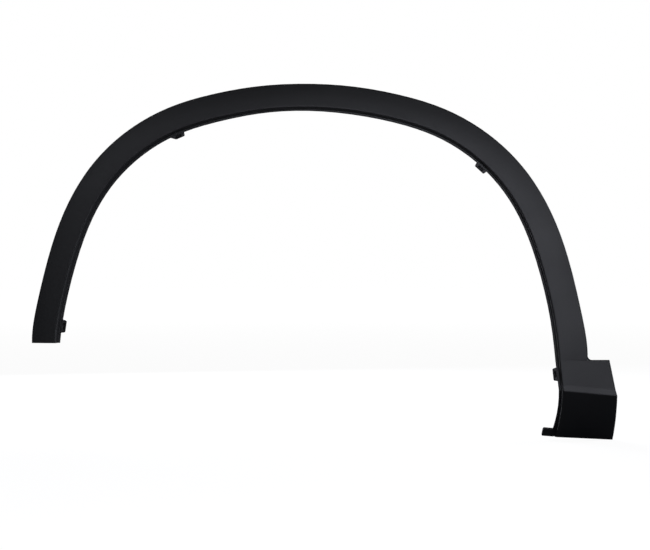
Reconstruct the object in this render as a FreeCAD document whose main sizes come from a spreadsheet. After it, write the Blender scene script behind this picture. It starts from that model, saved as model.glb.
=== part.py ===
import FreeCAD, Part
import math
import os
import Sketcher
from FreeCAD import Vector

doc = FreeCAD.newDocument("front_wheel_arch_moulding")

# Driving sizes in millimetres and degrees
SIZES = [
    ("crown_height", 375.3, "height of the wheel-opening edge at the crown"),
    ("crown_radius", 597, "wheel-opening edge over the crown"),
    ("crown_turn", 17.8, "turn of the crown arc to each side"),
    ("rear_shoulder_radius", 286, "wheel-opening edge over the rear shoulder"),
    ("rear_shoulder_turn", 50.6, "turn of the rear shoulder arc"),
    ("rear_leg_radius", 718, "wheel-opening edge down the rear leg"),
    ("front_shoulder_radius", 275, "wheel-opening edge over the front shoulder"),
    ("front_shoulder_turn", 49.5, "turn of the front shoulder arc"),
    ("front_leg_radius", 692, "wheel-opening edge down the front leg"),
    ("plan_radius", 2600, "sweep of the front half towards the car, seen from above"),
    ("wall", 2.5, "moulding wall"),
    ("section_depth", 15.5, "wheel-opening edge to the fender side"),
    ("front_end", -3.2, "height of the cut end of the front leg"),
    ("band_width", 39.2, "visible band over the crown"),
    ("band_width_front", 40.2, "visible band at the cut end of the front leg"),
    ("band_width_rear", 46, "visible band where it runs into the sill block"),
    ("band_swell", 1.6, "extra width of the band over the shoulders"),
    ("band_bulge_radius", 170, "crowned face of the band"),
    ("edge_drop", 8, "fall of the band from the wheel opening to the outer edge"),
    ("edge_drop_rear", 5, "the same fall where the band runs into the sill block"),
    ("flange_draft", 0.8, "lean of the flange into the wheel opening"),
    ("lip_reach", 4.8, "lip edge inside the wheel-opening edge"),
    ("lip_reach_crown", 3.9, "the same over the crown, where the lip is cut back"),
    ("lip_reach_foot", 8, "the same at the lower end of the sill block"),
    ("opening_round", 2.5, "rounded wheel-opening edge"),
    ("edge_round", 1.5, "rounded outer edge"),
    ("section_pitch", 76, "spacing of the sections along the band"),
    ("lip_cut_front", 10, "heading at which the lip is cut back, front of the crown"),
    ("lip_cut_rear", 6, "heading at which the lip is cut back, rear of the crown"),
    ("block_top", -29.4, "height of the top edge of the sill block"),
    ("block_width_top", 82, "sill block along its top edge, from the wheel-opening edge"),
    ("block_slope", 0.115, "fall of the sill block's face towards the rear, per millimetre"),
    ("block_edge_round", 2.5, "rounded rear edge of the sill block"),
    ("crease_height", -78.4, "height of the crease at the wheel opening"),
    ("crease_place", 414.7, "crease at the wheel opening, rear of the crown"),
    ("crease_width", 89.6, "length of the crease"),
    ("crease_fall", 8.7, "how much lower the crease is at the rear"),
    ("crease_flare", 1.1, "how far the face flares out to the crease"),
    ("flare_height", -69, "height at which the face starts to flare"),
    ("flare_place", 413.7, "wheel-opening edge where the face starts to flare"),
    ("flare_width", 88, "width of the sill block where the face starts to flare"),
    ("belly_height", -113.6, "height of the tucked-under face half way down"),
    ("belly_place", 415, "wheel-opening edge half way down"),
    ("belly_width", 90.6, "width of the tucked-under face half way down"),
    ("belly_tuck", 20, "how far that face lies inboard half way down"),
    ("foot_height", -156.8, "height of the lower end at the wheel opening"),
    ("foot_place", 409.8, "wheel-opening edge at the lower end"),
    ("foot_width", 94.5, "width of the tucked-under face at the lower end"),
    ("foot_fall", 5.2, "how much lower the lower end is at the rear"),
    ("foot_tuck", 48, "how far that face lies inboard at the lower end"),
    ("step_round", 8, "hollow corner between the band and the top of the sill block"),
    ("tab_length", 19, "fixing tab along the lip"),
    ("tab_ramp", 1.5, "slant of a fixing tab's sides"),
    ("tab_ramp_long", 8, "slant of the front side of the front upper tab"),
    ("tab_reach", 6.2, "end of a fixing tab inside the lip edge"),
    ("tab_wall", 2.8, "fixing tab"),
    ("tab_proud", 0.6, "fixing tab seat inboard of the lip"),
    ("tab_corner", 2, "rounded corners of a fixing tab"),
    ("slot_length", 10, "slot-shaped recess in a fixing tab"),
    ("slot_width", 3, "slot-shaped recess in a fixing tab"),
    ("slot_edge", 1.6, "recess from the end of its tab"),
    ("slot_depth", 2, "recess from the outboard side"),
    ("foot_tab_length", 22, "foot tab from the wheel-opening edge"),
    ("foot_tab_height", 15, "foot tab above the lower end of the sill block"),
    ("foot_tab_drop", 0.6, "foot tab below the lower end of the sill block"),
    ("clip_length", 18, "clip base along the moulding"),
    ("clip_width", 14, "clip base across the moulding"),
    ("clip_place", 12, "clip base from the wheel-opening edge"),
    ("clip_wall", 1.6, "clip base"),
    ("clip_seat", 2, "clip base plate that holds the clip"),
    ("clip_slot", 7, "slot for the clip's neck"),
    ("front_clip_1", 120, "clip base along the front half from the crown"),
    ("front_clip_2", 370, "clip base along the front half from the crown"),
    ("front_clip_3", 520, "clip base along the front half from the crown"),
    ("rear_clip_1", 40, "clip base along the rear half from the crown"),
    ("rear_clip_2", 190, "clip base along the rear half from the crown"),
    ("rear_clip_3", 430, "clip base along the rear half from the crown"),
    ("rear_clip_4", 570, "clip base along the rear half from the crown"),
    ("front_lower_tab", 596, "fixing tab along the front half from the crown"),
    ("front_upper_tab", 210, "fixing tab along the front half from the crown"),
    ("rear_upper_tab", 310, "fixing tab along the rear half from the crown"),
    ("rear_lower_tab", -52, "height of the fixing tab on the sill block"),
    ("end_wall", 2, "wall that closes the front end"),
    ("rib_wall", 1.6, "gusset beside a fixing tab"),
    ("rib_width", 14, "gusset across the band"),
]
sheet = doc.addObject("Spreadsheet::Sheet", "sizes")
for row, (alias, number, note) in enumerate(SIZES, start=1):
    sheet.set(f"A{row}", note)
    sheet.set(f"B{row}", str(number))
    sheet.setAlias(f"B{row}", alias)
doc.recompute()


def size(text):
    """Number that an expression on the sheet has now."""
    return float(sheet.evalExpression(text))


def arcs_of(end):
    """Radius and last heading of each tangent arc from the crown down one leg."""
    first = size("sizes.crown_turn")
    second = first + size(f"sizes.{end}_shoulder_turn")
    radii = ["sizes.crown_radius", f"sizes.{end}_shoulder_radius", f"sizes.{end}_leg_radius"]
    return [(size(radius), last) for radius, last in zip(radii, (first, second, 90))]


ARCS = {"front": arcs_of("front"), "rear": arcs_of("rear")}


def opening_point(heading):
    """Point of the wheel-opening edge where it has turned by heading from the crown, rear positive."""
    x, z, start = 0.0, size("sizes.crown_height"), 0.0
    for radius, last in ARCS["rear" if heading > 0 else "front"]:
        stop = min(abs(heading), last)
        x += radius * (math.sin(math.radians(stop)) - math.sin(math.radians(start)))
        z += radius * (math.cos(math.radians(stop)) - math.cos(math.radians(start)))
        if stop == abs(heading):
            break
        start = last
    x = math.copysign(x, heading)
    return Vector(x, plan_sweep(x), z)


def plan_sweep(x):
    """How far the moulding lies inboard at a place along the car."""
    radius = size("sizes.plan_radius")
    return radius - math.sqrt(radius**2 - min(x, 0.0)**2)


def leg_heading(end, height):
    """Heading at which a leg's arc passes a height."""
    shoulder = ARCS[end][1][1]
    above = opening_point(shoulder if end == "rear" else -shoulder).z
    fall = (above - height) / ARCS[end][2][0]
    return math.degrees(math.acos(math.cos(math.radians(shoulder)) - fall))


def distance_at(heading):
    """Distance along the wheel-opening edge from the crown to a heading."""
    distance, start = 0.0, 0.0
    for radius, last in ARCS["rear" if heading > 0 else "front"]:
        stop = min(abs(heading), last)
        distance += radius * math.radians(max(stop - start, 0))
        start = last
    return distance


def heading_at(end, distance):
    """Heading at a distance along the wheel-opening edge from the crown."""
    heading, start = 0.0, 0.0
    for radius, last in ARCS[end]:
        turn = min(math.degrees(distance / radius), last - start)
        heading += turn
        distance -= radius * math.radians(turn)
        start = last
    return heading if end == "rear" else -heading


def section_frame(heading, level=False):
    """Plane across the moulding: x outward from the wheel, y inboard."""
    turn = math.copysign(90, heading) if level else heading
    outward = Vector(math.sin(math.radians(turn)), 0, math.cos(math.radians(turn)))
    inboard = Vector(0, 1, 0)
    rotation = FreeCAD.Rotation(outward, inboard, outward.cross(inboard), "XYZ")
    return FreeCAD.Placement(opening_point(heading), rotation)


def outline(name, frame, corners, bulges=None):
    """Closed sketch through corners (x, y, round); a bulged side is an arc towards -y."""
    sketch = body.newObject("Sketcher::SketchObject", name)
    sketch.Placement = frame
    points = [Vector(size(x), size(y), 0) for x, y, rounding in corners]
    sides = len(points)
    bulges = bulges or {}
    for side in range(sides):
        start, end = points[side], points[(side + 1) % sides]
        if side in bulges:
            left, right = sorted((start, end), key=lambda point: point.x)
            half = (right - left).Length / 2
            radius = size(bulges[side])
            normal = Vector(right.y - left.y, left.x - right.x, 0).normalize()
            middle = (left + right) / 2 + normal * (radius - math.sqrt(radius**2 - half**2))
            sketch.addGeometry(Part.Arc(left, middle, right), False)
        else:
            sketch.addGeometry(Part.LineSegment(start, end), False)

    def end_at(side, point):
        geometry = sketch.Geometry[side]
        gaps = (geometry.StartPoint - point).Length, (geometry.EndPoint - point).Length
        return 1 if gaps[0] < gaps[1] else 2

    def bind(kind, *where):
        expression = where[-1]
        index = sketch.addConstraint(Sketcher.Constraint(kind, *where[:-1], size(expression)))
        sketch.setExpression(f"Constraints[{index}]", expression)

    def hold(item, end, x, y):
        for kind, axis, expression in (("DistanceX", -2, x), ("DistanceY", -1, y)):
            if expression == "0":
                sketch.addConstraint(Sketcher.Constraint("PointOnObject", item, end, axis))
            else:
                bind(kind, -1, 1, item, end, expression)

    ends = {}
    for corner in range(sides):
        before = (corner - 1) % sides
        ends[corner] = end_at(before, points[corner]), end_at(corner, points[corner])
        joint = before, ends[corner][0], corner, ends[corner][1]
        sketch.addConstraint(Sketcher.Constraint("Coincident", *joint))
    for corner, (x, y, rounding) in enumerate(corners):
        if rounding is None:
            hold(corner, ends[corner][1], x, y)
    for corner, (x, y, rounding) in enumerate(corners):
        if rounding is None:
            continue
        before = (corner - 1) % sides
        touch = []
        for side in (before, corner):
            geometry = sketch.Geometry[side]
            far = max((geometry.StartPoint, geometry.EndPoint), key=lambda p: (p - points[corner]).Length)
            touch.append(points[corner] + (far - points[corner]) * 0.1)
        sketch.fillet(before, corner, touch[0], touch[1], size(rounding), True, False)
        bind("Radius", sketch.GeometryCount - 1, rounding)
        mark = sketch.addGeometry(Part.Point(points[corner]), True)
        sketch.addConstraint(Sketcher.Constraint("PointOnObject", mark, 1, before))
        sketch.addConstraint(Sketcher.Constraint("PointOnObject", mark, 1, corner))
        hold(mark, 1, x, y)
    for side, radius in bulges.items():
        bind("Radius", side, radius)
    return sketch


def band_at(heading):
    """Width and fall of the band at a heading, as expressions."""
    end = "rear" if heading > 0 else "front"
    share = heading / (rear_end if heading > 0 else front_end)
    swell = math.sin(math.pi * share)
    width = f"(sizes.band_width + {share**2:.4f} * (sizes.band_width_{end} - sizes.band_width)"
    width += f" + {swell:.4f} * sizes.band_swell)"
    drop = "sizes.edge_drop"
    if heading > 0:
        drop = f"(sizes.edge_drop + {share**2:.4f} * (sizes.edge_drop_rear - sizes.edge_drop))"
    return width, drop


def band_section(name, heading):
    """Cross-section of the moulding wall at a heading."""
    width, drop = band_at(heading)
    depth, wall, draft = "sizes.section_depth", "sizes.wall", "sizes.flange_draft"
    lip_front = f"{depth} - {wall}"
    lean = f"{draft} / ({depth} - {wall})"
    cut_back = -size("sizes.lip_cut_front") < heading < size("sizes.lip_cut_rear")
    reach = "sizes.lip_reach_crown" if cut_back else "sizes.lip_reach"
    corners = [
        (width, depth, None),
        (width, drop, "sizes.edge_round"),
        ("0", "0", "sizes.opening_round"),
        (f"-{draft}", lip_front, None),
        (f"-{reach}", lip_front, None),
        (f"-{reach}", depth, None),
        (f"{wall} - {lean} * {depth}", depth, None),
        (f"{wall} - {lean} * {wall}", f"{wall} + {drop} * {wall} / {width}", None),
        (f"{width} - {wall}", f"{wall} + {drop} * ({width} - {wall}) / {width}", None),
        (f"{width} - {wall}", depth, None),
    ]
    bulges = {}
    if heading < rear_end:
        bulges = {1: "sizes.band_bulge_radius", 7: f"sizes.band_bulge_radius - {wall}"}
    return outline(name, section_frame(heading, heading in (front_end, rear_end)), corners, bulges)


body = doc.addObject("PartDesign::Body", "arch_moulding")
body.AllowCompound = True

# Band, flange and lip: sections at even distances from the front end to the sill block
front_end = -leg_heading("front", size("sizes.front_end"))
rear_end = leg_heading("rear", size("sizes.block_top"))
stations = [front_end, 0.0, rear_end]
for end, last in (("front", front_end), ("rear", rear_end)):
    length = distance_at(last)
    count = math.ceil(length / size("sizes.section_pitch"))
    stations += [heading_at(end, length * step / count) for step in range(1, count)]
sections = [band_section(f"section_{number}", heading) for number, heading in enumerate(sorted(stations))]


# Sill block: an outer form with the lip along it, then its hollow
def block_section(name, height, place, width, tuck, fall, reach, hollow=False, shift="0"):
    """Section of the sill block across the car, on a plane that falls to the rear."""
    lean = math.atan2(size(fall), size(width))
    ahead = Vector(math.cos(lean), 0, -math.sin(lean))
    inboard = Vector(0, 1, 0)
    rotation = FreeCAD.Rotation(ahead, inboard, ahead.cross(inboard), "XYZ")
    start = Vector(size(place), size(tuck), size(height) + size(shift))
    depth, wall, draft = "sizes.section_depth", "sizes.wall", "sizes.flange_draft"
    drop = f"sizes.block_slope * {width}"
    if hollow:
        cut = f"{depth} + {wall}"
        corners = [
            (f"{width} - {wall}", cut, None),
            (f"{width} - {wall}", f"{wall} + {drop} - sizes.block_slope * {wall}", None),
            (f"{wall} - {draft} * {wall} / ({depth} - {wall})", f"{wall} + sizes.block_slope * {wall}", None),
            (f"{wall} - {draft} * ({cut}) / ({depth} - {wall})", cut, None),
        ]
    else:
        corners = [
            (width, depth, None),
            (width, drop, "sizes.block_edge_round"),
            ("0", "0", "sizes.opening_round"),
            (f"-{draft}", f"{depth} - {wall}", None),
            (f"-{reach}", f"{depth} - {wall}", None),
            (f"-{reach}", depth, None),
        ]
    return outline(name, FreeCAD.Placement(start, rotation), corners)


def loft(kind, name, levels, ruled):
    """Loft between section sketches."""
    feature = body.newObject(f"PartDesign::{kind}Loft", name)
    feature.Profile = levels[0]
    feature.Sections = levels[1:]
    feature.Ruled = ruled
    return feature


top_place = f"{opening_point(rear_end).x:.4f}"
LIP, LEAN = "sizes.lip_reach", "sizes.crease_fall"
TOP = ("sizes.block_top", top_place, "sizes.block_width_top", "0", "0", LIP)
FLARE = ("sizes.flare_height", "sizes.flare_place", "sizes.flare_width", "0", LEAN, LIP)
CREASE = ("sizes.crease_height", "sizes.crease_place", "sizes.crease_width", "-sizes.crease_flare", LEAN, LIP)
BELLY = ("sizes.belly_height", "sizes.belly_place", "sizes.belly_width", "sizes.belly_tuck", LEAN, LIP)
FOOT = ("sizes.foot_height", "sizes.foot_place", "sizes.foot_width", "sizes.foot_tuck", "sizes.foot_fall",
        "sizes.lip_reach_foot")
crease_outer = block_section("crease_outer", *CREASE)
upper = [block_section("top_outer", *TOP), block_section("flare_outer", *FLARE), crease_outer]
loft("Additive", "block_upper", upper, True)
lower = [crease_outer, block_section("belly_outer", *BELLY), block_section("foot_outer", *FOOT)]
loft("Additive", "block_lower", lower, False)
crease_hollow = block_section("crease_hollow", *CREASE, hollow=True)
upper = [block_section("top_hollow", *TOP, hollow=True, shift="-sizes.wall")]
upper += [block_section("flare_hollow", *FLARE, hollow=True), crease_hollow]
loft("Subtractive", "hollow_upper", upper, True)
lower = [crease_hollow, block_section("belly_hollow", *BELLY, hollow=True)]
lower.append(block_section("foot_hollow", *FOOT, hollow=True, shift="sizes.wall"))
loft("Subtractive", "hollow_lower", lower, False)
doc.recompute()


# Fixing tabs with slot-shaped recesses
def plate_frame(point, along, inward, depth):
    """Plane of a tab: x along the edge, y into the wheel opening, lifted inboard by depth."""
    along = along.normalize()
    inward = (inward - along * inward.dot(along)).normalize()
    inboard = along.cross(inward)
    lifted = point + Vector(0, depth, 0)
    return FreeCAD.Placement(lifted, FreeCAD.Rotation(along, inward, inboard, "XYZ"))


def tangent_at(heading):
    """Direction of the wheel-opening edge towards the rear."""
    x = opening_point(heading).x
    sweep = min(x, 0.0) / math.sqrt(size("sizes.plan_radius")**2 - x**2)
    turn = math.radians(heading)
    return Vector(math.cos(turn), sweep * math.cos(turn), -math.sin(turn))


def slot_outline(name, frame, across):
    """Slot-shaped sketch along a tab, held in the middle of it."""
    sketch = body.newObject("Sketcher::SketchObject", name)
    sketch.Placement = frame
    radius, half = size("sizes.slot_width / 2"), size("(sizes.slot_length - sizes.slot_width) / 2")
    place = size(across)
    up, down = math.pi / 2, 3 * math.pi / 2
    right = Part.Circle(Vector(half, place, 0), Vector(0, 0, 1), radius)
    left = Part.Circle(Vector(-half, place, 0), Vector(0, 0, 1), radius)
    ends = [sketch.addGeometry(Part.ArcOfCircle(right, -up, up), False)]
    ends.append(sketch.addGeometry(Part.ArcOfCircle(left, up, down), False))
    sides = []
    for offset in (radius, -radius):
        line = Part.LineSegment(Vector(half, place + offset, 0), Vector(-half, place + offset, 0))
        sides.append(sketch.addGeometry(line, False))
    joints = [(ends[0], 2, sides[0], 1), (sides[0], 2, ends[1], 1)]
    joints += [(ends[1], 2, sides[1], 2), (sides[1], 1, ends[0], 1)]
    for joint in joints:
        sketch.addConstraint(Sketcher.Constraint("Tangent", *joint))
    sketch.addConstraint(Sketcher.Constraint("Symmetric", ends[0], 3, ends[1], 3, -2))
    values = [("Radius", (ends[0],), "sizes.slot_width / 2")]
    values.append(("DistanceX", (ends[1], 3, ends[0], 3), "sizes.slot_length - sizes.slot_width"))
    values.append(("DistanceY", (-1, 1, ends[0], 3), across))
    for kind, where, expression in values:
        index = sketch.addConstraint(Sketcher.Constraint(kind, *where, size(expression)))
        sketch.setExpression(f"Constraints[{index}]", expression)
    return sketch


def pad(name, sketch, length, both_ways=False, backwards=False):
    """Pad of a sketch, checked to have added material."""
    before = body.Shape.Volume if body.Tip else 0
    feature = body.newObject("PartDesign::Pad", name)
    feature.Profile = sketch
    feature.setExpression("Length", length)
    feature.Midplane = both_ways
    feature.Reversed = backwards
    doc.recompute()
    if body.Shape.Volume <= before:
        raise RuntimeError(f"{name} added nothing")
    return feature


def pocket(name, sketch, length, both_ways=False, backwards=False):
    """Pocket of a sketch, checked to have cut."""
    before = body.Shape.Volume
    feature = body.newObject("PartDesign::Pocket", name)
    feature.Profile = sketch
    feature.setExpression("Length", length)
    feature.Midplane = both_ways
    feature.Reversed = backwards
    doc.recompute()
    if body.Shape.Volume >= before:
        raise RuntimeError(f"{name} cut nothing")
    return feature


TAB_DEPTH = "sizes.section_depth + sizes.tab_proud - sizes.tab_wall"
SLOT_PLACE = "sizes.lip_reach + sizes.tab_reach - sizes.slot_edge - sizes.slot_width / 2"
SEAT_PLACE = "sizes.lip_reach - sizes.wall / 2"


def fixing_tab(name, point, along, inward, long_front=False):
    """Tab on the lip with slanted sides and a slot-shaped recess."""
    frame = plate_frame(point, along, inward, size(TAB_DEPTH))
    root, end = "sizes.lip_reach - sizes.wall", "sizes.lip_reach + sizes.tab_reach"
    half = "sizes.tab_length / 2"
    foot_front, end_front = f"-({half} + sizes.tab_ramp)", f"-{half}"
    if long_front:
        foot_front = f"-({half} + sizes.tab_ramp_long / 2)"
        end_front = f"-({half} - sizes.tab_ramp_long / 2)"
    corners = [
        (foot_front, root, None),
        (f"{half} + sizes.tab_ramp", root, None),
        (f"{half} + sizes.tab_ramp", "sizes.lip_reach", None),
        (half, end, "sizes.tab_corner"),
        (end_front, end, "sizes.tab_corner"),
        (foot_front, "sizes.lip_reach", None),
    ]
    pad(name, outline(f"{name}_outline", frame, corners), "sizes.tab_wall")
    slot = slot_outline(f"{name}_slot_outline", frame, SLOT_PLACE)
    pocket(f"{name}_slot", slot, "sizes.slot_depth", backwards=True)
    return frame.multVec(Vector(0, size(SEAT_PLACE), size("sizes.tab_wall")))


def inward_at(heading):
    """Direction from the wheel-opening edge into the opening."""
    turn = math.radians(heading)
    return Vector(-math.sin(turn), 0, -math.cos(turn))


def corner_of(level):
    """Wheel-opening edge of the sill block at one of its sections."""
    height, place, width, tuck, fall, reach = level
    return Vector(size(place), size(tuck), size(height))


TABS = {"front_lower_tab": "front", "front_upper_tab": "front", "rear_upper_tab": "rear"}
seats = {}
for name, end in TABS.items():
    heading = heading_at(end, size(f"sizes.{name}"))
    along, inward = tangent_at(heading), inward_at(heading)
    seats[name] = fixing_tab(name, opening_point(heading), along, inward, name == "front_upper_tab")
top, foot, belly = corner_of(TOP), corner_of(FOOT), corner_of(BELLY)
down = (corner_of(FLARE) - top).normalize()
point = top + down * ((size("sizes.rear_lower_tab") - top.z) / down.z)
seats["rear_lower_tab"] = fixing_tab("rear_lower_tab", point, down, Vector(-1, 0, 0))

# Foot tab at the lower end of the sill block
frame = plate_frame(foot, foot - belly, Vector(-1, 0, 0), size(TAB_DEPTH))
corners = [
    ("-sizes.foot_tab_height", "sizes.wall", None),
    ("sizes.foot_tab_drop", "sizes.wall", None),
    ("sizes.foot_tab_drop", "sizes.foot_tab_length", "sizes.tab_corner"),
    ("-sizes.foot_tab_height", "sizes.foot_tab_length", "sizes.tab_corner"),
]
pad("foot_tab", outline("foot_tab_outline", frame, corners), "sizes.tab_wall")

# Hollow corner between the band and the top of the sill block
corners = [
    ("-0.4 * sizes.wall", "-0.4 * sizes.wall", None),
    ("sizes.step_round", "-0.4 * sizes.wall", None),
    ("sizes.step_round", "0", None),
    ("0", "sizes.step_round", None),
    ("-0.4 * sizes.wall", "sizes.step_round", None),
]
edge = Vector(size("sizes.band_width_rear"), size("sizes.section_depth - 0.2 * sizes.wall"), 0)
outboard = FreeCAD.Rotation(Vector(1, 0, 0), Vector(0, 0, 1), Vector(0, -1, 0), "XYZ")
step = outline("step_outline", FreeCAD.Placement(top + edge, outboard), corners, {2: "sizes.step_round"})
pad("step_web", step, "sizes.section_depth - sizes.edge_drop_rear - sizes.edge_round - 0.4 * sizes.wall")

# Wall that closes the front end
width, drop, depth, wall = "sizes.band_width_front", "sizes.edge_drop", "sizes.section_depth", "sizes.wall"
corners = [
    ("0.4 * sizes.wall", "0.5 * sizes.wall", None),
    (f"{width} - 0.4 * {wall}", f"{drop} + 0.5 * {wall}", None),
    (f"{width} - 0.4 * {wall}", f"{depth} - 0.2 * {wall}", None),
    (f"0.4 * {wall} - sizes.flange_draft", f"{depth} - 0.2 * {wall}", None),
]
end_outline = outline("end_outline", section_frame(front_end, True), corners)
pad("front_end_wall", end_outline, "sizes.end_wall", backwards=True)


# Clip bases on the hidden side of the band
def moved(frame, x, y, z):
    """Frame moved along its own axes."""
    return frame.multiply(FreeCAD.Placement(Vector(x, y, z), FreeCAD.Rotation()))


def clip_base(name, heading):
    """Hollow box with a slotted plate, open towards the rear, for a push-in clip."""
    width, drop = band_at(heading)
    frame = section_frame(heading)
    near, far = "sizes.clip_place", "(sizes.clip_place + sizes.clip_width)"
    seat = "(sizes.section_depth - 0.2 * sizes.wall)"
    box = [
        (near, f"0.2 * sizes.wall + {drop} * {near} / {width}", None),
        (far, f"0.2 * sizes.wall + {drop} * {far} / {width}", None),
        (far, seat, None),
        (near, seat, None),
    ]
    pad(f"{name}_box", outline(f"{name}_box_outline", frame, box), "sizes.clip_length", both_ways=True)
    near = "(sizes.clip_place + sizes.clip_wall)"
    far = "(sizes.clip_place + sizes.clip_width - sizes.clip_wall)"
    hollow = [
        (near, f"1.1 * sizes.wall + {drop} * {near} / {width}", None),
        (far, f"1.1 * sizes.wall + {drop} * {far} / {width}", None),
        (far, f"{seat} - sizes.clip_seat", None),
        (near, f"{seat} - sizes.clip_seat", None),
    ]
    start = moved(frame, 0, 0, size("sizes.clip_length / 2 - sizes.clip_wall"))
    pocket(f"{name}_hollow", outline(f"{name}_hollow_outline", start, hollow), "sizes.clip_length")
    across = size("sizes.clip_place + sizes.clip_width / 2")
    seat_frame = moved(frame, across, size(seat), 0)
    turned = FreeCAD.Rotation(Vector(1, 0, 0), Vector(0, 0, 1), Vector(0, -1, 0), "XYZ")
    seat_frame = seat_frame.multiply(FreeCAD.Placement(Vector(), turned))
    slot = [
        ("-sizes.clip_slot / 2", "-sizes.clip_length", None),
        ("sizes.clip_slot / 2", "-sizes.clip_length", None),
        ("sizes.clip_slot / 2", "sizes.clip_slot / 2", "0.45 * sizes.clip_slot"),
        ("-sizes.clip_slot / 2", "sizes.clip_slot / 2", "0.45 * sizes.clip_slot"),
    ]
    pocket(f"{name}_slot", outline(f"{name}_slot_outline", seat_frame, slot), "3 * sizes.clip_seat", True)


for end, count in (("front", 3), ("rear", 4)):
    for number in range(1, count + 1):
        name = f"{end}_clip_{number}"
        clip_base(name, heading_at(end, size(f"sizes.{name}")))

# Gussets beside the fixing tabs
for name, end in TABS.items():
    for side in (-1, 1):
        reach = side * size("sizes.tab_length / 2 + sizes.rib_wall")
        heading = heading_at(end, size(f"sizes.{name}") + reach)
        width, drop = band_at(heading)
        corners = [
            ("0.4 * sizes.wall", "0.6 * sizes.wall", None),
            ("sizes.rib_width", f"0.2 * sizes.wall + {drop} * sizes.rib_width / {width}", None),
            ("0.4 * sizes.wall - sizes.flange_draft", "sizes.section_depth - sizes.wall", None),
        ]
        label = f"{name}_gusset_{'after' if side > 0 else 'before'}"
        pad(label, outline(f"{label}_outline", section_frame(heading), corners), "sizes.rib_wall", True)

# Band joined to everything that sits on it
loft("Additive", "band", sections, False)
doc.recompute()

# Origin on the seat of the rear upper tab, beside the middle of its recess
body.Placement = FreeCAD.Placement(-seats["rear_upper_tab"], FreeCAD.Rotation())
body.Label = "arch_moulding"
doc.recompute()
for item in doc.Objects:
    if "Invalid" in item.State or "Error" in item.State:
        raise RuntimeError(f"{item.Name}: {item.State}")
if body.Shape.isNull() or not body.Shape.isValid() or len(body.Shape.Solids) != 1:
    raise RuntimeError("the moulding is not one valid solid")
os.makedirs("parts", exist_ok=True)
body.Shape.exportStep(f"parts/{body.Label}.step")
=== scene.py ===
"""Finish and studio for a black plastic wheel arch moulding, laid out as a Blender add-on."""
import math

import bpy
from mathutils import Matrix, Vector


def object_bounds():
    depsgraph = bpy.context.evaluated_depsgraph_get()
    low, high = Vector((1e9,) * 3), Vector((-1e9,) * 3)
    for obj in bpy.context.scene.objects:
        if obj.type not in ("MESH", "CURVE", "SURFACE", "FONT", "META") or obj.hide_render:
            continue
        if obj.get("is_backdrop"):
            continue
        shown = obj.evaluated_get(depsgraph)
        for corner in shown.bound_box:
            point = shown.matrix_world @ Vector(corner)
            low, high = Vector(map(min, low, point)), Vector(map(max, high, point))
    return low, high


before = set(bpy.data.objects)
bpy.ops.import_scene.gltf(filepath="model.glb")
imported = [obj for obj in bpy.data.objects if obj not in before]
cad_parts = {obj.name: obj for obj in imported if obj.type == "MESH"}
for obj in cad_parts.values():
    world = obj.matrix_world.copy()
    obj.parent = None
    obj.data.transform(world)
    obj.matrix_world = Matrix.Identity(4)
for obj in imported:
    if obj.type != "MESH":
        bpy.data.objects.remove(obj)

bl_info = {
    "name": "Wheel arch moulding",
    "version": (1, 0, 0),
    "blender": (4, 5, 0),
    "location": "3D View > Sidebar > Moulding",
    "description": "Grained plastic finish and a plain studio for a wheel arch moulding",
    "category": "Object",
}

MM = 0.001


# Colours and nodes
def linear(hex_colour):
    """sRGB hex colour as linear RGBA."""
    parts = [int(hex_colour[i:i + 2], 16) / 255 for i in (1, 3, 5)]
    return tuple(c / 12.92 if c <= 0.04045 else ((c + 0.055) / 1.055) ** 2.4 for c in parts) + (1.0,)


def add_node(tree, kind, inputs=None, **settings):
    """New node with its settings, and with values or links on its inputs."""
    node = tree.nodes.new(kind)
    for name, value in settings.items():
        setattr(node, name, value)
    for name, value in (inputs or {}).items():
        if isinstance(value, bpy.types.NodeSocket):
            tree.links.new(value, node.inputs[name])
        else:
            node.inputs[name].default_value = value
    return node


def new_material(name):
    """Empty node material and its output node."""
    material = bpy.data.materials.new(name)
    material.use_nodes = True
    material.node_tree.nodes.clear()
    return material, material.node_tree.nodes.new("ShaderNodeOutputMaterial")


# The Mix node's colour sockets share their names with its number sockets, so they go by place
MIX_COLOUR_A, MIX_COLOUR_B, MIX_COLOUR_RESULT = 6, 7, 2
WHITE = linear("#FFFFFF")


# Settings
class MouldingFinish(bpy.types.PropertyGroup):
    """Surface of the moulded plastic."""

    colour: bpy.props.FloatVectorProperty(
        name="Plastic", description="Colour of the dyed-through plastic", subtype="COLOR",
        size=4, min=0, max=1, default=linear("#08090B"))
    colour_pale: bpy.props.FloatVectorProperty(
        name="Paler plastic", description="Colour where the dye is thinnest", subtype="COLOR",
        size=4, min=0, max=1, default=linear("#0F1012"))
    flow_size: bpy.props.FloatProperty(
        name="Flow size", description="Width of the patches that the flowing melt leaves",
        unit="LENGTH", min=1 * MM, default=90 * MM)
    roughness: bpy.props.FloatProperty(
        name="Roughness", description="Mean roughness of the grained skin",
        min=0, max=1, default=0.5)
    roughness_spread: bpy.props.FloatProperty(
        name="Roughness spread", description="How far patches of the skin differ from the mean",
        min=0, max=0.2, default=0.03)
    grain_size: bpy.props.FloatProperty(
        name="Grain size", description="Spacing of the moulded grain", unit="LENGTH",
        min=0.1 * MM, default=1.4 * MM)
    grain_depth: bpy.props.FloatProperty(
        name="Grain depth", description="Depth of the moulded grain", unit="LENGTH",
        min=0, default=0.05 * MM)
    edge_softness: bpy.props.FloatProperty(
        name="Edge softness", description="Radius over which the sheen rolls round an edge",
        unit="LENGTH", min=0, default=3 * MM)


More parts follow.
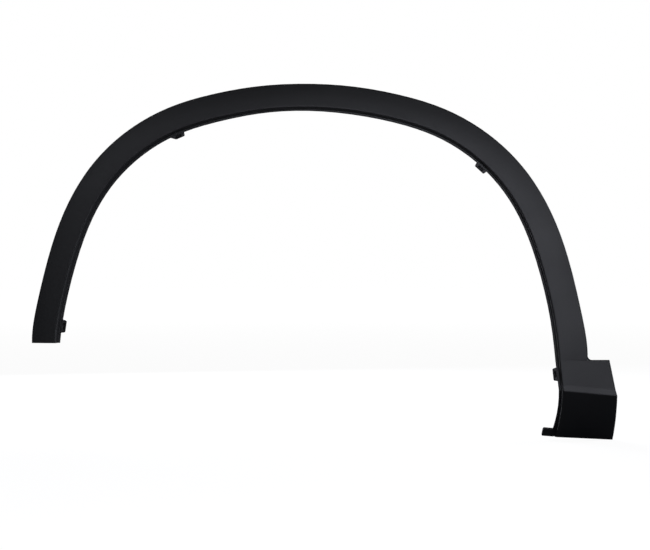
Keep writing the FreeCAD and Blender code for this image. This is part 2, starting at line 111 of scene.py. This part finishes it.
class MouldingStage(bpy.types.PropertyGroup):
    """Camera, lamps and floor."""

    camera_place: bpy.props.FloatVectorProperty(
        name="Camera", description="Camera's place, level with the middle of the arch",
        subtype="TRANSLATION", unit="LENGTH", default=(-252.9 * MM, -2816.9 * MM, -174.6 * MM))
    camera_lens: bpy.props.FloatProperty(
        name="Lens", description="Focal length in millimetres on a 36 mm sensor", unit="CAMERA",
        default=96.9)
    lamp_colour: bpy.props.FloatVectorProperty(
        name="Lamp colour", description="Cool daylight of the lamps", subtype="COLOR",
        size=4, min=0, max=1, default=linear("#F1F3FF"))
    sky_light: bpy.props.FloatProperty(
        name="Sky light", description="Light from all sides", min=0, default=0.1)
    floor_size: bpy.props.FloatProperty(
        name="Floor", description="Side of the floor", unit="LENGTH", default=60.0)
    floor_colour: bpy.props.FloatVectorProperty(
        name="Floor colour",
        description="What the floor adds under the lamps, and lacks in a shadow",
        subtype="COLOR", size=4, min=0, max=1, default=linear("#505050"))
    floor_white: bpy.props.FloatProperty(
        name="Floor white",
        description="White of the unlit floor near the moulding, as the camera sees it",
        min=0, max=1, default=0.94)


# Moulding
PLASTIC_IOR = 1.49
FLOW_DETAIL = 3.0
FLOW_ROUGHNESS = 0.55
FLOW_LOW, FLOW_HIGH = 0.3, 0.7
GRAIN_STRENGTH = 0.5
EDGE_SAMPLES = 6


class MOULDING_OT_finish(bpy.types.Operator):
    """Give the moulding its grained black plastic"""

    bl_idname = "moulding.finish"
    bl_label = "Finish moulding"

    def execute(self, context):
        settings = context.scene.moulding_finish
        material, output = new_material("Moulded grained black polypropylene")
        tree = material.node_tree
        place = add_node(tree, "ShaderNodeTexCoord").outputs["Object"]
        # Carbon black dyes the plastic right through, a little unevenly along the flow of the melt
        flow = add_node(tree, "ShaderNodeTexNoise", {
            "Vector": place, "Scale": 1 / settings.flow_size, "Detail": FLOW_DETAIL,
            "Roughness": FLOW_ROUGHNESS})
        dye = add_node(tree, "ShaderNodeMix", {
            "Factor": flow.outputs["Fac"], MIX_COLOUR_A: settings.colour,
            MIX_COLOUR_B: settings.colour_pale}, data_type="RGBA")
        # The mould is etched with pebbles of about 0.3 mm, which break the gloss into a satin
        # sheen: they are drawn coarser, so that they show
        pebbles = add_node(tree, "ShaderNodeTexVoronoi", {
            "Vector": place, "Scale": 1 / settings.grain_size}, feature="SMOOTH_F1")
        # Moulded edges are never knife-edged, so the sheen rolls round them
        rolled = add_node(tree, "ShaderNodeBevel", {
            "Radius": settings.edge_softness}, samples=EDGE_SAMPLES)
        grain = add_node(tree, "ShaderNodeBump", {
            "Strength": GRAIN_STRENGTH, "Distance": settings.grain_depth,
            "Height": pebbles.outputs["Distance"], "Normal": rolled.outputs["Normal"]}, invert=True)
        sheen = add_node(tree, "ShaderNodeMapRange", {
            "Value": flow.outputs["Fac"], "From Min": FLOW_LOW, "From Max": FLOW_HIGH,
            "To Min": settings.roughness - settings.roughness_spread,
            "To Max": settings.roughness + settings.roughness_spread})
        skin = add_node(tree, "ShaderNodeBsdfPrincipled", {
            "Base Color": dye.outputs[MIX_COLOUR_RESULT], "Roughness": sheen.outputs["Result"],
            "IOR": PLASTIC_IOR, "Normal": grain.outputs["Normal"]})
        tree.links.new(skin.outputs["BSDF"], output.inputs["Surface"])
        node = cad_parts["arch_moulding"]
        node.data.materials.clear()
        node.data.materials.append(material)
        return {"FINISHED"}


# Studio: soft lamps, placed in metres from the middle of the moulding, with their sides and watts
LAMPS = {
    "key": {"place": (1.05, -1.7, 0.1), "sides": (1.3, 1.3), "power": 13},
    "fill": {"place": (-1.0, -1.2, 0.5), "sides": (0.6, 0.6), "power": 2},
    "front": {"place": (0.2, -1.3, 0.05), "sides": (0.9, 0.3), "power": 3},
    "top": {"place": (0.1, -1.6, 0.6), "sides": (0.6, 0.4), "power": 1.2},
    "back": {"place": (-0.5, 1.6, 0.7), "sides": (1.4, 1.4), "power": 50},
    "side": {"place": (1.9, 0.4, 0.6), "sides": (1.0, 1.0), "power": 20},
}
# The floor's white goes from its value near the moulding to full white far off, in metres
FLOOR_NEAR = 0.5
FLOOR_FAR = 8.0
SENSOR_WIDTH = 36


class MOULDING_OT_stage(bpy.types.Operator):
    """Put floor, sky, lamps and camera round the moulding"""

    bl_idname = "moulding.stage"
    bl_label = "Set stage"

    def execute(self, context):
        scene = context.scene
        settings = scene.moulding_stage
        low, high = (Vector(corner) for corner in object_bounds())
        middle = (low + high) / 2
        self.floor(settings, (middle.x, middle.y, low.z))
        self.sky(scene, settings)
        for name, lamp in LAMPS.items():
            self.lamp(settings, name, lamp, middle)
        self.camera(scene, settings)
        scene.view_settings.view_transform = "Standard"
        return {"FINISHED"}

    def floor(self, settings, place):
        """Pale floor that the camera sees as white, brighter under the lamps than in a shadow."""
        bpy.ops.object.select_all(action="DESELECT")
        bpy.ops.mesh.primitive_plane_add(size=settings.floor_size, location=place)
        floor = bpy.context.object
        floor.name = "floor"
        material, output = new_material("Pale studio paper")
        tree = material.node_tree
        # Only the camera meets the white: it would turn the satin black of the plastic grey
        ray = add_node(tree, "ShaderNodeLightPath")
        point = add_node(tree, "ShaderNodeTexCoord").outputs["Object"]
        away = add_node(tree, "ShaderNodeVectorMath", {0: point}, operation="LENGTH")
        white = add_node(tree, "ShaderNodeMapRange", {
            "Value": away.outputs["Value"], "From Min": FLOOR_NEAR, "From Max": FLOOR_FAR,
            "To Min": settings.floor_white, "To Max": 1.0})
        glow = add_node(tree, "ShaderNodeEmission", {"Strength": white.outputs["Result"]})
        seen = add_node(tree, "ShaderNodeMixShader", {
            0: ray.outputs["Is Camera Ray"], 2: glow.outputs["Emission"]})
        lit = add_node(tree, "ShaderNodeBsdfDiffuse", {"Color": settings.floor_colour})
        both = add_node(tree, "ShaderNodeAddShader", {
            0: seen.outputs["Shader"], 1: lit.outputs["BSDF"]})
        tree.links.new(both.outputs["Shader"], output.inputs["Surface"])
        floor.data.materials.append(material)
        floor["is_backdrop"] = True

    def sky(self, scene, settings):
        """White behind the floor for the camera, and a weak light from all sides."""
        world = bpy.data.worlds.new("studio")
        world.use_nodes = True
        tree = world.node_tree
        tree.nodes.clear()
        ray = add_node(tree, "ShaderNodeLightPath")
        weak = add_node(tree, "ShaderNodeBackground", {
            "Color": WHITE, "Strength": settings.sky_light})
        white = add_node(tree, "ShaderNodeBackground", {"Color": WHITE, "Strength": 1.0})
        both = add_node(tree, "ShaderNodeMixShader", {
            0: ray.outputs["Is Camera Ray"], 1: weak.outputs["Background"],
            2: white.outputs["Background"]})
        output = add_node(tree, "ShaderNodeOutputWorld")
        tree.links.new(both.outputs["Shader"], output.inputs["Surface"])
        scene.world = world

    def lamp(self, settings, name, lamp, middle):
        """Soft lamp turned to the middle of the moulding."""
        bpy.ops.object.select_all(action="DESELECT")
        place = middle + Vector(lamp["place"])
        bpy.ops.object.light_add(type="AREA", location=place)
        light = bpy.context.object
        light.name = f"{name} lamp"
        light.visible_camera = False
        light.rotation_euler = (middle - place).to_track_quat("-Z", "Y").to_euler()
        light.data.shape = "RECTANGLE"
        light.data.size, light.data.size_y = lamp["sides"]
        light.data.energy = lamp["power"]
        light.data.color = settings.lamp_colour[:3]

    def camera(self, scene, settings):
        """Level camera square to the side of the car."""
        bpy.ops.object.select_all(action="DESELECT")
        bpy.ops.object.camera_add(location=settings.camera_place, rotation=(math.radians(90), 0, 0))
        camera = bpy.context.object
        camera.data.lens = settings.camera_lens
        camera.data.sensor_width = SENSOR_WIDTH
        camera.data.sensor_fit = "HORIZONTAL"
        scene.camera = camera


class MOULDING_PT_panel(bpy.types.Panel):
    """Moulding settings in the sidebar"""

    bl_idname = "MOULDING_PT_panel"
    bl_label = "Wheel arch moulding"
    bl_space_type = "VIEW_3D"
    bl_region_type = "UI"
    bl_category = "Moulding"

    def draw(self, context):
        scene = context.scene
        for settings, operator in (
                (scene.moulding_finish, MOULDING_OT_finish),
                (scene.moulding_stage, MOULDING_OT_stage)):
            box = self.layout.box()
            for name in settings.__annotations__:
                box.prop(settings, name)
            box.operator(operator.bl_idname)


CLASSES = (
    MouldingFinish, MouldingStage, MOULDING_OT_finish, MOULDING_OT_stage, MOULDING_PT_panel)


def register():
    for cls in CLASSES:
        bpy.utils.register_class(cls)
    bpy.types.Scene.moulding_finish = bpy.props.PointerProperty(type=MouldingFinish)
    bpy.types.Scene.moulding_stage = bpy.props.PointerProperty(type=MouldingStage)


def unregister():
    del bpy.types.Scene.moulding_stage
    del bpy.types.Scene.moulding_finish
    for cls in reversed(CLASSES):
        bpy.utils.unregister_class(cls)


def main():
    register()
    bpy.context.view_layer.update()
    bpy.ops.moulding.finish()
    bpy.ops.moulding.stage()


if __name__ == "__main__":
    main()
